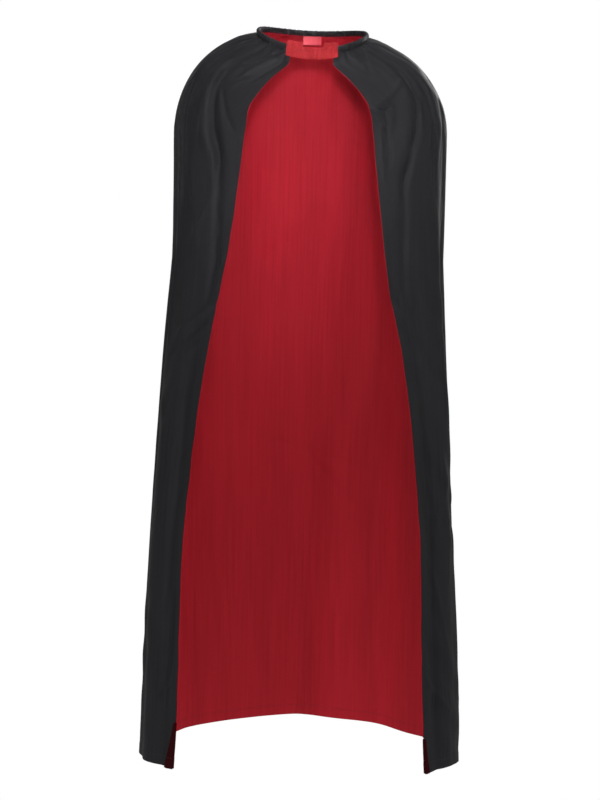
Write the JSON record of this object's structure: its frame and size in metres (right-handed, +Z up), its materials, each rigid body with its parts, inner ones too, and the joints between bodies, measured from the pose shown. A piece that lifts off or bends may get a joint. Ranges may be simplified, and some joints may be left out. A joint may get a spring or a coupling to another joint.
{
  "type": "superhero cape",
  "caption": "Full-length lined costume cape with a round neckband, hook-and-loop throat strap, open front and panels that swing open.",
  "frame": {"origin": "centre of the neck opening, on the neckband's axis at half its height", "axes": "+Z up, the wearer faces -Y, +X is the wearer's left; the neckband tilts forward"},
  "size_m": [0.54, 0.3017, 1.2264],
  "materials": {
    "shell_satin": "black satin with a soft sheen",
    "lining_satin": "red satin with fine lengthwise ribs",
    "interfacing": "plain non-woven interfacing",
    "black_thread": "spun polyester sewing thread",
    "red_thread": "spun polyester sewing thread",
    "strap": "woven red tape",
    "hook_tape": "hook tape",
    "loop_tape": "brushed loop tape",
    "label_ribbon": "folded satin ribbon, blank"
  },
  "bodies": {
    "root": {"neckband": "shell_satin", "neckband_stay": "interfacing", "neckband_stitching": "black_thread", "shell_back": "shell_satin", "lining_back": "lining_satin", "shell_chest_left": "shell_satin", "shell_chest_right": "shell_satin", "lining_chest_left": "lining_satin", "lining_chest_right": "lining_satin", "side_seam_left": "black_thread", "side_seam_right": "black_thread", "hem_stitching_back": "black_thread", "hook_tab_base": "strap", "loop_tab": "strap", "loop_tape": "loop_tape", "hook_tab_stitching": "red_thread", "loop_tab_stitching": "red_thread"},
    "front_left": {"shell_front_left": "shell_satin", "lining_front_left": "lining_satin", "hem_stitching_left": "black_thread"},
    "front_right": {"shell_front_right": "shell_satin", "lining_front_right": "lining_satin", "hem_stitching_right": "black_thread"},
    "closure_flap": {"hook_tab": "strap", "hook_tape": "hook_tape"},
    "label": {"neck_label": "label_ribbon"}
  },
  "joints": [
    {"name": "front_left_swing", "type": "hinge", "parent": "root", "child": "front_left", "pos_m": [0.223, 0, -0.36], "axis": [-0.055, 0, 0.9985], "range_deg": [-25, 75], "stiffness_Nm_per_rad": 0.05},
    {"name": "front_right_swing", "type": "hinge", "parent": "root", "child": "front_right", "pos_m": [-0.223, 0, -0.36], "axis": [-0.055, 0, -0.9985], "range_deg": [-25, 75], "stiffness_Nm_per_rad": 0.05},
    {"name": "hook_tab_peel", "type": "hinge", "parent": "root", "child": "closure_flap", "pos_m": [-0.03339, -0.08339, -0.02698], "axis": [0, 0.2419, -0.9703], "range_deg": [0, 120]},
    {"name": "label_flip", "type": "hinge", "parent": "root", "child": "label", "pos_m": [0, 0.0829, 0.0156], "axis": [-1, 0, 0], "range_deg": [0, 110]}
  ]
}
